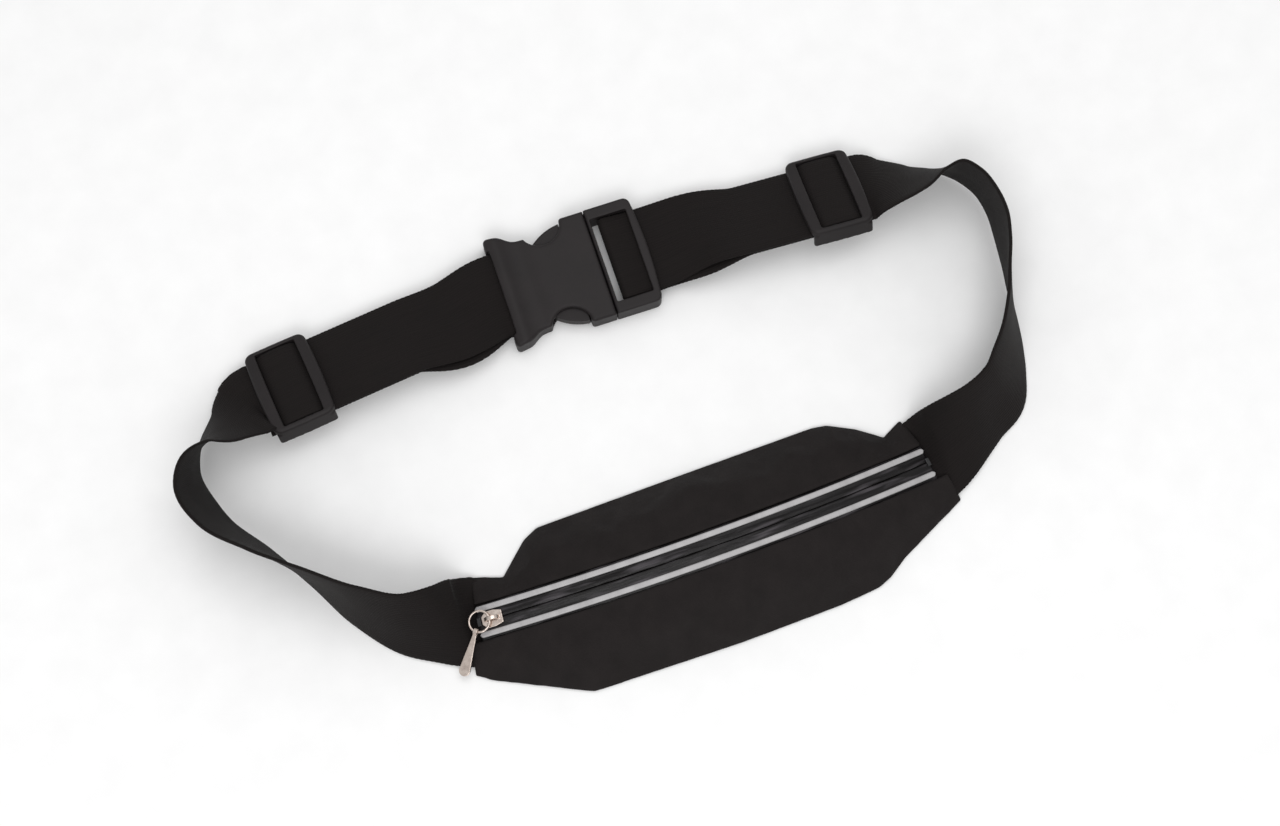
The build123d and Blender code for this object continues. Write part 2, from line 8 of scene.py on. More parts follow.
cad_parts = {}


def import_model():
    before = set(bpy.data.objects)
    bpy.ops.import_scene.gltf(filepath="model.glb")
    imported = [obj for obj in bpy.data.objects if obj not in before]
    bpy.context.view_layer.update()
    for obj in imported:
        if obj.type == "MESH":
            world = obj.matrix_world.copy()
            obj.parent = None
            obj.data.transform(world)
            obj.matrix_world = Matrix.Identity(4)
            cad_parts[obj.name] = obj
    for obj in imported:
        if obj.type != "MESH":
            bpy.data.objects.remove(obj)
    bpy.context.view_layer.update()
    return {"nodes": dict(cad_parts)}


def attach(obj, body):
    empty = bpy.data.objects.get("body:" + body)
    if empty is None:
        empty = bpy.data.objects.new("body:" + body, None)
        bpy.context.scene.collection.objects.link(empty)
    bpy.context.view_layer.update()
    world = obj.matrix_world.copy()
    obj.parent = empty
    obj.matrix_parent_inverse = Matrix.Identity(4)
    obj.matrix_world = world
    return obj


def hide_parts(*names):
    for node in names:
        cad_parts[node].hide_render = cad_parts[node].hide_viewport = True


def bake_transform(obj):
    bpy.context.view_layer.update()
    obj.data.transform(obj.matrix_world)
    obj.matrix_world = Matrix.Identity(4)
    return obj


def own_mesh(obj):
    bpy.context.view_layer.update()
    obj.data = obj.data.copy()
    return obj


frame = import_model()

# A slim waist pack on an elastic belt, lying on its back with the zip up.  Sizes are in millimetres in
# the object's own frame: X along the pouch, Y towards the buckle, Z up.  make_piece() turns them into metres.
# Bumps, lights and the camera are in metres.

MM = 0.001
UP = np.array((0.0, 0.0, 1.0))
ALONG = np.array((1.0, 0.0, 0.0))

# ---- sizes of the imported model, as its source has them ----
WEB_WIDTH = 38.0
WEB_THICK = 1.4
FABRIC = 1.2
TOP_OUTLINE = (
    (-108, 24.5), (-96, 21), (-84, 16.8), (-70.5, 29), (-64, 32), (0, 32.6),
    (60, 32.8), (66, 31.8), (77, 26), (87, 18.5), (95, 22.5), (108, 26),
)
BOTTOM_OUTLINE = (
    (-108, -16.5), (-102, -21), (-71, -36.5), (-64, -39.8), (0, -41.6),
    (44, -41), (62, -39.4), (68, -37), (76, -31.6), (102, -19.1), (108, -16),
)
TAB_X = 101.5
TAB_Y = 3.5
TAB_SKEW = radians(16.0)
ZIP_HEIGHT = 20.0
ZIP_RADIUS = 334.0
ZIP_Y = -3.8
ZIP_TILT = radians(21.5)
ZIP_LEAN = radians(-21.5)
ZIP_REACH = 100.0
PANEL_PROUD = 1.5
TAPE_HALF = 8.5
STRIP_IN = 4.2
STRIP_OUT = 6.6
CLEAR = 0.3
SNUG = 0.1                # gap between a bar and the webbing folded round it
BUCKLE_END = (-45.4, 132.4)
BUCKLE_TURN = radians(-1.5)
BUCKLE_THICK = 10.5
BUCKLE_LIFT = 0.2
BUCKLE_LENGTH = 67.0
BUCKLE_HALF = 24.5
BAR_HALF = 1.2
FEMALE_BAR = 10.0
MALE_BAR = 52.4
MALE_BAR_RISE = 1.4
GLIDE_LENGTH = 27.0
GLIDE_HALF = 21.3
LEFT_GLIDE = (-141.5, 123.0)
RIGHT_GLIDE = (102.0, 124.5)
LEFT_ROLL = radians(16.0)
RIGHT_ROLL = radians(22.0)
LEFT_TRAVEL = 38.0
RIGHT_TRAVEL = 24.0
LEFT_SWAY = (2.0, 5.0)
RIGHT_SWAY = (-2.0, 1.0)
LOOP_RISE = BAR_HALF + SNUG + WEB_THICK / 2
TAIL_DROP = WEB_THICK + CLEAR
TAIL_START = 3.4          # the under layer starts this far from the tri-glide's middle
TAIL_HELD = 20.0          # and has a station here, so that it runs straight
TAIL_SAG = 0.9
GLIDE_CORNER = (WEB_WIDTH / 2 - 0.5, 6.4)   # the tri-glide's lowest corner: across and under its middle
GLIDE_OVER_FLOOR = 0.3
BEFORE_GLIDE = 2.5
BEFORE_BUCKLE = 2.0       # from here to the bar the webbing lies flat
FEMALE_RAIL_IN = 4.0      # how far in the webbing passes under each half's rail
MALE_RAIL_IN = 5.0
STRAIGHT_SPARE = 1.0
STRAIGHT_END = 2.0        # a station this far before its end keeps a stretch straight

# stations of the free webbing: x, y, degrees that the inner edge is raised, and
# the height of the lower edge over the table
LEFT_STATIONS = (
    (-97.65, 2.4, 0, 2.0), (-101.5, 3.5, 1, 2.2),
    (-107, 3.9, 20, 1.9), (-115, 5, 40, 1.5), (-129, 9.5, 58, 1), (-144, 22.5, 73, 1),
    (-159, 41, 89, 1), (-175, 59, 103, 1), (-188.5, 76, 108, 1), (-192.5, 91, 105, 1), (-190, 102, 90, 1),
    (-182, 110, 70, 2), (-171, 114.5, 46, 4), (-163.5, 118.5, 28, 5.5),
)
RIGHT_STATIONS = (
    (127, 121.5, 38, 3), (139, 119, 54, 1), (149, 118, 69, 1), (157, 115, 80, 1), (163, 107, 84, 1),
    (165.5, 97, 87, 1), (165.5, 86, 89, 1), (163, 74, 86, 1), (159, 62, 81, 1), (155, 49, 75, 1),
    (150.5, 37.5, 68, 1), (145.5, 28, 60, 1), (139, 18.5, 53, 1), (128, 12.5, 52, 1), (116, 7.5, 38, 1.5),
    (108, 5, 20, 1.9), (101.5, 3.5, 1, 2.2), (97.65, 2.4, 0, 2.0),
)
TUCK = 4.0                # length of webbing hidden in each end seam, drawn in to fit between the panels
TUCK_NARROW = 0.16


# ---- small helpers ----
def unit(v):
    return v / np.maximum(np.linalg.norm(v, axis=-1, keepdims=True), 1e-9)


def ramp(x, low, high):
    """0 below low, 1 above high, and smooth between."""
    t = np.clip((x - low) / (high - low), 0, 1)
    return t * t * (3 - 2 * t)


def distances(path):
    """How far along a path each of its points lies."""
    return np.concatenate(([0], np.cumsum(np.linalg.norm(np.diff(path, axis=0), axis=1))))


def ripples(places, scale, seed):
    """Smooth noise from -1 to 1 over a grid of places, by their first two coordinates."""
    return np.array([[noise.noise(Vector((p[0] * scale[0], p[1] * scale[1], seed))) for p in row]
                     for row in places])


def make_piece(name, material, slot, points, faces, uvs=None):
    """A mesh object from points in millimetres; uvs holds one (u, v) for each corner of each face."""
    mesh = bpy.data.meshes.new(name)
    mesh.from_pydata([tuple(p) for p in np.asarray(points) * MM], [], [tuple(f) for f in faces])
    if uvs is not None:
        layer = mesh.uv_layers.new(name="cloth")
        layer.data.foreach_set("uv", np.asarray(uvs, float).ravel())
    mesh.polygons.foreach_set("use_smooth", [True] * len(mesh.polygons))
    mesh.materials.append(material)
    mesh.update()
    piece = bpy.data.objects.new(name, mesh)
    bpy.context.collection.objects.link(piece)
    return piece


def sweep(rings, lengths=None, around=None):
    """Points, faces and uvs of a closed tube through rings, an array of (rows, points of a ring, 3)."""
    rows, count, _ = rings.shape
    points = rings.reshape(-1, 3)
    if lengths is None:
        lengths = distances(rings.mean(axis=1))
    if around is None:
        around = distances(np.concatenate((rings[0], rings[0][:1])))
    faces, uvs = [], []
    for r in range(rows - 1):
        for c in range(count):
            n = (c + 1) % count
            faces.append((r * count + c, r * count + n, (r + 1) * count + n, (r + 1) * count + c))
            uvs += [(around[c], lengths[r]), (around[c + 1], lengths[r]),
                    (around[c + 1], lengths[r + 1]), (around[c], lengths[r + 1])]
    faces.append(tuple(reversed(range(count))))
    uvs += [(around[c], lengths[0]) for c in reversed(range(count))]
    last = (rows - 1) * count
    faces.append(tuple(range(last, last + count)))
    uvs += [(around[c], lengths[-1]) for c in range(count)]
    return points, faces, uvs


def join_parts(parts):
    """One set of points, faces and uvs from several."""
    points, faces, uvs = [], [], []
    for p, f, u in parts:
        base = sum(len(q) for q in points)
        points.append(np.asarray(p))
        faces += [tuple(i + base for i in face) for face in f]
        uvs += u
    return np.concatenate(points), faces, uvs


def smooth_path(stations, step):
    """Rows every step along a smooth curve through the stations; the first three columns are the place."""
    points = np.array(stations, float)
    place = distances(points[:, :3])
    slopes = np.gradient(points, place, axis=0)
    wanted = np.linspace(0, place[-1], int(ceil(place[-1] / step)) + 1)
    k = np.clip(np.searchsorted(place, wanted, side="right") - 1, 0, len(points) - 2)
    h = (place[k + 1] - place[k])[:, None]
    t = ((wanted - place[k])[:, None]) / h
    return (
        (2 * t**3 - 3 * t**2 + 1) * points[k] + (t**3 - 2 * t**2 + t) * h * slopes[k]
        + (-2 * t**3 + 3 * t**2) * points[k + 1] + (t**3 - t**2) * h * slopes[k + 1]
    )


# ---- materials ----
class Graph:
    """A material's node tree, with short ways to add to it."""

    def __init__(self, name, **sockets):
        self.material = bpy.data.materials.new(name)
        self.material.use_nodes = True
        self.tree = self.material.node_tree
        self.shader = self.tree.nodes["Principled BSDF"]
        for socket, value in sockets.items():
            self.put(self.shader, socket.replace("_", " "), value)
        self.coords = self.node("TexCoord")

    def put(self, node, socket, value):
        if isinstance(value, bpy.types.NodeSocket):
            self.tree.links.new(value, node.inputs[socket])
        else:
            node.inputs[socket].default_value = value

    def node(self, kind, **sockets):
        """A node of this kind; each socket gets a value or another node's output."""
        made = self.tree.nodes.new(f"ShaderNode{kind}")
        for socket, value in sockets.items():
            self.put(made, socket.replace("_", " "), value)
        return made

    def math(self, operation, a, b=0.0):
        node = self.node("Math")
        node.operation = operation
        self.put(node, 0, a)
        self.put(node, 1, b)
        return node.outputs[0]

    def place(self, source="UV", scale=(1, 1, 1)):
        """The surface's place: cloth pieces in millimetres by UV, moulded ones in metres by Object."""
        return self.node("Mapping", Vector=self.coords.outputs[source], Scale=scale).outputs[0]

    def split(self, vector):
        return self.node("SeparateXYZ", Vector=vector).outputs

    def noise(self, vector, scale, detail=2.0, rough=0.5):
        node = self.node("TexNoise", Vector=vector, Scale=scale, Detail=detail, Roughness=rough)
        return node.outputs["Fac"]

    def wave(self, value, pitch):
        """A sine of the value, from 0 to 1, with this pitch."""
        turned = self.math("MULTIPLY", value, 2 * pi / pitch)
        return self.math("MULTIPLY", self.math("ADD", self.math("SINE", turned), 1.0), 0.5)

    def mix(self, a, b, share):
        """This share of a and the rest of b."""
        return self.math("ADD", self.math("MULTIPLY", a, share), self.math("MULTIPLY", b, 1 - share))

    def between(self, factor, low, high):
        """A number that runs from low to high with the factor."""
        return self.node("MapRange", Value=factor, To_Min=low, To_Max=high).outputs[0]

    def colours(self, factor, dark, light, low=0.3, high=0.7):
        """A colour that runs from dark to light as the factor goes from low to high."""
        node = self.node("ValToRGB", Fac=factor)
        for stop, place, colour in zip(node.color_ramp.elements, (low, high), (dark, light)):
            stop.position = place
            stop.color = (*colour, 1)
        return node.outputs["Color"]

    def bump(self, height, distance, under=None):
        """Bump with height in metres; under is a broader bump that this one lies on."""
        node = self.node("Bump", Height=height, Distance=distance)
        if under is not None:
            self.put(node, "Normal", under)
        return node.outputs["Normal"]

    def finish(self, colour=None, roughness=None, normal=None):
        for socket, value in (("Base Color", colour), ("Roughness", roughness), ("Normal", normal)):
            if value is not None:
                self.put(self.shader, socket, value)
        return self.material


def times(colour, factor):
    return tuple(c * factor for c in colour)


def panel_fabric():
    """Smooth stretch knit with a soft bloom: fine wales along the pouch, slightly mottled."""
    tone = (0.0134, 0.0110, 0.0108)
    g = Graph("panel fabric", Sheen_Weight=0.02, Sheen_Roughness=0.45, Specular_IOR_Level=0.14)
    place = g.place()
    u, v, _ = g.split(place)
    wales = g.wave(u, 0.62)
    courses = g.wave(v, 0.5)
    knit = g.math("MULTIPLY", wales, courses)
    mottle = g.noise(place, 0.09, 4.0, 0.6)
    fleck = g.noise(place, 2.4, 2.0)
    tint = g.mix(mottle, fleck, 0.75)
    broad = g.bump(mottle, 0.0006)
    return g.finish(
        g.colours(tint, times(tone, 0.8), times(tone, 1.22)),
        g.between(fleck, 0.72, 0.9),
        g.bump(knit, 0.00007, broad),
    )


def webbing():
    """Ribbed elastic: cords along its length with fine weft across them and a firm selvage."""
    tone = (0.0080, 0.0062, 0.0059)
    g = Graph("elastic webbing", Sheen_Weight=0.02, Sheen_Roughness=0.5, Specular_IOR_Level=0.14)
    place = g.place()
    u, v, _ = g.split(place)
    cords = g.wave(u, 1.15)
    weft = g.wave(g.math("ADD", v, g.math("MULTIPLY", g.wave(u, 2.3), 0.3)), 0.75)
    weave = g.mix(cords, weft, 0.65)
    streaks = g.noise(g.place(scale=(1.1, 0.05, 1)), 1.0, 3.0)
    mottle = g.noise(place, 0.07, 3.0)
    tint = g.mix(g.mix(streaks, mottle, 0.5), weave, 0.8)
    return g.finish(
        g.colours(tint, times(tone, 0.78), times(tone, 1.28)),
        g.between(mottle, 0.7, 0.88),
        g.bump(weave, 0.00012),
    )


def zip_film():
    """Coated zip tape: a dark film with soft creases, and painted highlights: its base colour is lighter in
    patches, standing in for a broken gloss.
    """
    g = Graph("coated zip tape", Specular_IOR_Level=0.22, Coat_Weight=0.06, Coat_Roughness=0.25)
    place = g.place()
    patches = g.noise(g.place(scale=(0.35, 0.045, 1)), 1.0, 2.0)
    creases = g.noise(g.place(scale=(1.4, 0.12, 1)), 1.0, 4.0, 0.65)
    grain = g.noise(place, 5.0, 2.0)
    broad = g.bump(patches, 0.0012)
    # painted highlight: where the patch noise is high, the film's base colour rises from near black towards
    # grey in place of reflected light
    painted_highlight = g.math("MULTIPLY", patches, g.between(creases, 0.85, 1.15))
    return g.finish(
        g.colours(painted_highlight, (0.006, 0.005, 0.0054), (0.062, 0.056, 0.062), 0.52, 0.72),
        g.between(patches, 0.24, 0.5),
        g.bump(grain, 0.00002, g.bump(creases, 0.00025, broad)),
    )


def coil_plastic():
    """Satin black plastic of the coils and the stops."""
    g = Graph("zip coil", Specular_IOR_Level=0.5)
    fine = g.noise(g.place("Object"), 900.0, 2.0)
    return g.finish(
        g.colours(fine, (0.010, 0.010, 0.011), (0.018, 0.017, 0.018)),
        g.between(fine, 0.3, 0.45),
        g.bump(fine, 0.00003),
    )


def reflective():
    """Silver glass-bead tape: a fine beaded grain with light soiling."""
    g = Graph("reflective strip", Metallic=0.15, Specular_IOR_Level=0.5)
    place = g.place()
    beads = g.node("TexVoronoi", Vector=place, Scale=3.5)
    soil = g.noise(place, 0.12, 4.0, 0.6)
    return g.finish(
        g.colours(soil, (0.33, 0.32, 0.325), (0.43, 0.42, 0.425), 0.25, 0.6),
        g.between(soil, 0.42, 0.55),
        g.bump(beads.outputs["Distance"], 0.00005),
    )


def bright_metal():
    """Plated die-cast metal with a warm cast, softly worn."""
    g = Graph("plated metal", Metallic=1.0)
    place = g.place("Object")
    wear = g.noise(place, 420.0, 4.0, 0.6)
    scratches = g.noise(g.place("Object", (900, 200, 600)), 1.0, 3.0)
    return g.finish(
        g.colours(wear, (0.56, 0.47, 0.42), (0.80, 0.70, 0.63)),
        g.between(scratches, 0.2, 0.38),
        g.bump(wear, 0.00003),
    )


def moulded_plastic():
    """Matte moulded acetal: a fine spark-eroded grain and faint flow marks."""
    tone = (0.0138, 0.0112, 0.0116)
    g = Graph("moulded plastic", Specular_IOR_Level=0.24)
    place = g.place("Object")
    grain = g.noise(place, 2600.0, 2.0)
    flow = g.noise(place, 70.0, 4.0, 0.6)
    return g.finish(
        g.colours(flow, times(tone, 0.85), times(tone, 1.2)),
        g.between(flow, 0.46, 0.6),
        g.bump(grain, 0.00003, g.bump(flow, 0.0002)),
    )


def thread():
    """Black twisted thread."""
    g = Graph("sewing thread", Specular_IOR_Level=0.4)
    place = g.place()
    _, v, _ = g.split(place)
    twist = g.wave(v, 0.35)
    return g.finish(
        g.colours(twist, (0.007, 0.0065, 0.0065), (0.016, 0.0145, 0.0145), 0.1, 0.9),
        g.between(twist, 0.5, 0.7),
        g.bump(twist, 0.00004),
    )


PANEL = panel_fabric()
WEBBING = webbing()
FILM = zip_film()
COIL = coil_plastic()
SILVER = reflective()
METAL = bright_metal()
PLASTIC = moulded_plastic()
THREAD = thread()


# ---- webbing ----
EDGE_PITCH = 1.8          # the weft loops that show along both edges
EDGE_DEPTH = 0.09
ROW_STEP = 0.6
ACROSS = 16               # steps over the webbing's face
EDGE_TURN = 4             # steps round its edge
STRAY_SCALE = (0.035, 0.03)
STRAY_SEED = 3.1


def strip_section(width, thick):
    """Round the strip's section: how far across and out each point lies, for a strip with round edges."""
    radius = thick / 2
    flat = width / 2 - radius
    half = [(a, radius) for a in np.linspace(-flat, flat, ACROSS + 1)]
    half += [(flat + radius * sin(pi * k / EDGE_TURN), radius * cos(pi * k / EDGE_TURN))
             for k in range(1, EDGE_TURN)]
    return np.concatenate((half, -np.array(half)))


def strip_frames(rows):
    """(middle, across, out) of a band from rows of x, y, z and roll in radians."""
    middle, roll = rows[:, :3], rows[:, 3:4]
    ahead = np.gradient(middle, axis=0)
    ahead[:, 2] = 0
    ahead = unit(ahead)
    inner = np.cross(ahead, UP)
    across = np.cos(roll) * inner + np.sin(roll) * UP
    return middle, across, np.cross(across, ahead)


def ribbon(name, middle, across, out, width, thick, slack=None, share=None):
    """A length of webbing; at each row slack is how far its face may stray and share narrows it."""
    section = strip_section(width, thick)
    run = distances(middle)
    serration = EDGE_DEPTH * np.sin(2 * pi * run / EDGE_PITCH)
    edge = np.abs(section[:, 0]) > width / 2 - thick
    a = section[:, 0][None, :] + np.sign(section[:, 0]) * edge * serration[:, None]
    b = np.repeat(section[:, 1][None, :], len(run), axis=0)
    if share is not None:
        a = a * share[:, None]
    if slack is not None:
        places = [[(x, r) for x in section[:, 0]] for r in run]
        b = b + ripples(places, STRAY_SCALE, STRAY_SEED) * slack[:, None]
    rings = middle[:, None] + across[:, None] * a[..., None] + out[:, None] * b[..., None]
    around = distances(np.concatenate((section, section[:1]))) - width / 2
    return make_piece(name, WEBBING, "webbing", *sweep(rings, run, around))


def turn(angle):
    return np.array((cos(angle), sin(angle), 0.0))


buckle_u = turn(BUCKLE_TURN)
buckle_v = turn(BUCKLE_TURN + pi / 2)
buckle_origin = np.array((*BUCKLE_END, BUCKLE_LIFT + BUCKLE_THICK / 2))


def buckle_point(u, w=0.0):
    return buckle_origin + buckle_u * u + UP * w


def out_of(ahead, roll):
    """The direction out of the face of webbing that runs ahead with this roll."""
    inner = np.cross(ahead, UP)
    return np.cross(cos(roll) * inner + sin(roll) * UP, ahead)


def glide_height(roll):
    """Height of the webbing's middle where the tri-glide's lowest corner just clears the table."""
    across, under = GLIDE_CORNER
    return across * sin(roll) + under * cos(roll) + GLIDE_OVER_FLOOR


BAR_TURN = 16             # steps round the buckle's bar


class Side:
    """Where the doubled webbing between a tri-glide and the buckle lies; sign is +1 left of the buckle."""

    def __init__(self, glide, roll, bar, rise, sign, travel, sway):
        self.roll, self.sign, self.travel, self.sway = roll, sign, travel, sway
        self.centre = np.array((*glide, glide_height(roll)))
        self.bar = buckle_point(bar, rise)
        away = self.bar - self.centre
        away[2] = 0
        self.run = away / np.linalg.norm(away)
        self.ahead = self.run * sign
        self.inwards = np.cross(self.ahead, UP)
        self.out = out_of(self.ahead, roll)
        outside, inside = -BEFORE_BUCKLE, FEMALE_RAIL_IN
        if sign < 0:
            outside, inside = BUCKLE_LENGTH + BEFORE_BUCKLE, BUCKLE_LENGTH - MALE_RAIL_IN
        self.rail = buckle_point(outside, LOOP_RISE)
        self.under_rail = buckle_point(inside, LOOP_RISE)
        self.straight = GLIDE_LENGTH / 2 + travel + STRAIGHT_SPARE

    def along(self, distance, drop=0.0):
        """A station on the straight stretch, distance from the tri-glide towards the buckle."""
        return (*(self.centre + self.run * distance - self.out * drop), self.roll)

    def middle(self, layer):
        """Half way from the straight stretch to the buckle, where the layers stray sideways."""
        return (np.array(self.along(self.straight)[:3]) + self.rail) / 2 + self.inwards * self.sway[layer]

    def upper(self):
        """Stations of the upper layer, from before the tri-glide to the top of the buckle's bar."""
        half = GLIDE_LENGTH / 2
        return [
            self.along(-half - BEFORE_GLIDE), self.along(-half), self.along(0), self.along(half),
            self.along(self.straight - STRAIGHT_END), self.along(self.straight),
            (*self.middle(0), self.roll / 2), (*self.rail, 0.0), (*self.under_rail, 0.0),
            (*(self.bar + UP * LOOP_RISE), 0.0),
        ]

    def lower(self):
        """Stations of the under layer, from the tri-glide to the underside of the buckle's bar."""
        middle = self.middle(1) - out_of(self.ahead, self.roll / 2) * (TAIL_DROP + TAIL_SAG)
        fall = UP * 2 * LOOP_RISE
        return [
            self.along(TAIL_START, TAIL_DROP), self.along(TAIL_HELD, TAIL_DROP),
            self.along(self.straight - STRAIGHT_END, TAIL_DROP), self.along(self.straight, TAIL_DROP),
            (*middle, self.roll / 2), (*(self.rail - fall), 0.0), (*(self.under_rail - fall), 0.0),
            (*(self.bar - UP * LOOP_RISE), 0.0),
        ]

    def bend(self):
        """(middle, across, out) round the buckle's bar, from its top to its underside."""
        angles = np.linspace(0, pi, BAR_TURN + 1)[1:, None]
        radial = buckle_u * self.sign * np.sin(angles) + UP * np.cos(angles)
        across = np.repeat(-buckle_v[None], len(angles), axis=0)
        return self.bar + radial * LOOP_RISE, across, radial


left = Side(LEFT_GLIDE, LEFT_ROLL, FEMALE_BAR, 0.0, 1, LEFT_TRAVEL, LEFT_SWAY)
right = Side(RIGHT_GLIDE, RIGHT_ROLL, MALE_BAR, MALE_BAR_RISE, -1, RIGHT_TRAVEL, RIGHT_SWAY)


def free_stations(stations):
    """Rows of x, y, height of the middle and roll in radians."""
    return [(x, y, lift + WEB_WIDTH / 2 * sin(radians(roll)), radians(roll)) for x, y, roll, lift in stations]


def near(middle, place, reach):
    """1 at rows within reach of the place, 0 beyond twice that."""
    return 1 - ramp(np.linalg.norm(middle - place, axis=1), reach, 2 * reach)


SLACK = 1.1               # how far the free webbing's face may stray
HELD_BY_GLIDE = 18
HELD_BY_BAR = 15
HELD_BY_TAB = 8
TAB_RISE = 3.0            # height of the webbing's middle at a tab


def slack_of(middle, side, tab):
    """The slack at each row: nothing where the tri-glide slides, in the buckle or at the tab."""
    place = side.centre + np.clip((middle - side.centre) @ side.run, 0, side.travel)[:, None] * side.run
    held = near(middle, place, HELD_BY_GLIDE) + near(middle, side.bar, HELD_BY_BAR)
    held = held + near(middle, tab, HELD_BY_TAB)
    return SLACK * np.clip(1 - held, 0, 1)


def main_strap(name, stations, side, cut, *nodes):
    """The webbing from the pouch's tab through the tri-glide to and round the buckle's bar."""
    free = free_stations(stations)
    if side.sign > 0:
        rows = smooth_path(free + side.upper(), ROW_STEP)
        parts = [strip_frames(rows), side.bend()]
    else:
        rows = smooth_path(list(reversed(side.upper())) + free, ROW_STEP)
        parts = [[part[::-1] for part in side.bend()], strip_frames(rows)]
    middle, across, out = (np.concatenate(group) for group in zip(*parts))
    tab = np.array((-side.sign * TAB_X, TAB_Y, TAB_RISE))
    slack = slack_of(middle, side, tab)
    run = distances(middle)
    share = 1 - TUCK_NARROW * (1 - ramp(run if side.sign > 0 else run[-1] - run, 0, TUCK))
    piece = ribbon(name, middle, across, out, WEB_WIDTH, WEB_THICK, slack, share)
    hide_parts(*nodes)
    return piece


# Widths and thickness of the webbing's hidden and folded stretches.
TAIL_WIDTH = WEB_WIDTH - 1.2
END_WIDTH = WEB_WIDTH - 1.4
WINDOW_WIDTH = WEB_WIDTH - 0.4
PRESSED = WEB_THICK - 0.1


def tail(name, side, node, body):
    """The under layer, from the tri-glide to the underside of the buckle's bar."""
    rows = smooth_path(side.lower(), ROW_STEP)
    if side.sign < 0:
        rows = rows[::-1]
    middle, across, out = strip_frames(rows)
    piece = ribbon(name, middle, across, out, TAIL_WIDTH, WEB_THICK)
    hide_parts(node)
    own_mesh(piece)
    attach(piece, body)


BEND_STEP = 0.35


def at_the_glide(side, path):
    """(middle, across, out) of webbing along a path of places (towards the buckle, out of the tri-glide)."""
    path = np.array(path)
    rows = smooth_path(np.hstack((path, np.zeros((len(path), 1)))), BEND_STEP)
    ahead = unit(np.gradient(rows[:, :2], axis=0))
    middle = side.centre + rows[:, :1] * side.run + rows[:, 1:2] * side.out
    out = ahead[:, :1] * side.out - ahead[:, 1:2] * side.run
    return middle, np.repeat(np.cross(side.run, side.out)[None], len(rows), axis=0), out


GLIDE_BAR = 2.2           # thickness of the tri-glide's middle bar, which the sewn end is folded round
END_TOP = -TAIL_DROP
END_LOW = END_TOP - GLIDE_BAR - WEB_THICK - 2 * SNUG
END_PATH = (
    (3.2, END_TOP), (0, END_TOP), (-3.0, END_TOP), (-4.1, (END_TOP + END_LOW) / 2), (-3.0, END_LOW),
    (0, END_LOW), (3.6, END_LOW + 0.1), (7.4, END_LOW + 1.2),
)


def fold(name, side, node, body):
    """The webbing's sewn end, folded round the tri-glide's middle bar and back under itself."""
    piece = ribbon(name, *at_the_glide(side, END_PATH), END_WIDTH, PRESSED)
    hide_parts(node)
    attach(piece, body)


# Cut lengths of the webbing: each CAD solid's volume over the area of its section, and the hidden ends.
LEFT_CUT = 311.5 + TUCK
RIGHT_CUT = 302.5 + TUCK

strap_left = main_strap("strap_left_webbing", LEFT_STATIONS, left, LEFT_CUT,
                        "strap_left", "strap_left_loop", "strap_left_turn")
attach(strap_left, "pouch")
strap_right = main_strap("strap_right_webbing", RIGHT_STATIONS, right, RIGHT_CUT,
                         "strap_right", "strap_right_loop", "strap_right_turn")
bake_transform(strap_right)
tail("strap_left_under", left, "strap_left_tail", "pouch")
tail("strap_right_under", right, "strap_right_tail", "male_half")
fold("strap_left_end", left, "strap_left_fold", "left_glide")
fold("strap_right_end", right, "strap_right_fold", "right_glide")

# The stretch of webbing that the tri-glide's middle bar lifts into its window, seen between the rails.
WINDOW_PATH = (
    (-9.3, 0.9), (-8.3, 1.7), (-6.6, 2.75), (-3.5, 3.2), (0, 3.3), (3.5, 3.2), (6.6, 2.75), (8.3, 1.7),
    (9.3, 0.9),
)


def window_webbing(name, side, body):
    piece = ribbon(name, *at_the_glide(side, WINDOW_PATH), WINDOW_WIDTH, PRESSED)
    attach(piece, body)


window_webbing("strap_left_window", left, "left_glide")
window_webbing("strap_right_window", right, "right_glide")

# ---- zip ----
ZIP_CROSS = np.array((0, cos(ZIP_TILT), sin(ZIP_TILT)))
ZIP_UP = np.array((0, -sin(ZIP_TILT), cos(ZIP_TILT)))
ZIP_CENTRE = np.array((0, ZIP_Y, ZIP_HEIGHT)) - ZIP_UP * ZIP_RADIUS
ZIP_ANGLE = asin(ZIP_REACH / ZIP_RADIUS)
ZIP_ROWS = 240
HALVES = (("upper", 1), ("lower", -1))      # the zip's two sides, and the sign of each across it


def zip_frame(angle):
    """(point, across, out) of the zip at an angle from its crest, as three vectors."""
    radial = ALONG * sin(angle) + ZIP_UP * cos(angle)
    along = ALONG * cos(angle) - ZIP_UP * sin(angle)
    across = ZIP_CROSS * cos(ZIP_LEAN) + radial * sin(ZIP_LEAN)
    return ZIP_CENTRE + radial * ZIP_RADIUS, across, np.cross(along, across)


def zip_place(angle, v, h):
    """The point v across the zip and h out of it."""
    point, across, out = zip_frame(angle)
    return point + across * v + out * h


def zip_sweep(section, rows=ZIP_ROWS, narrow=None):
    """Rings of a section of (across, out) points swept along the zip; narrow pinches it at each end."""
    rings = []
    for angle in np.linspace(-ZIP_ANGLE, ZIP_ANGLE, rows):
        left_over = (ZIP_ANGLE - abs(angle)) * ZIP_RADIUS
        points = section if narrow is None else narrow(section, left_over)
        rings.append([zip_place(angle, v, h) for v, h in points])
    return np.array(rings)


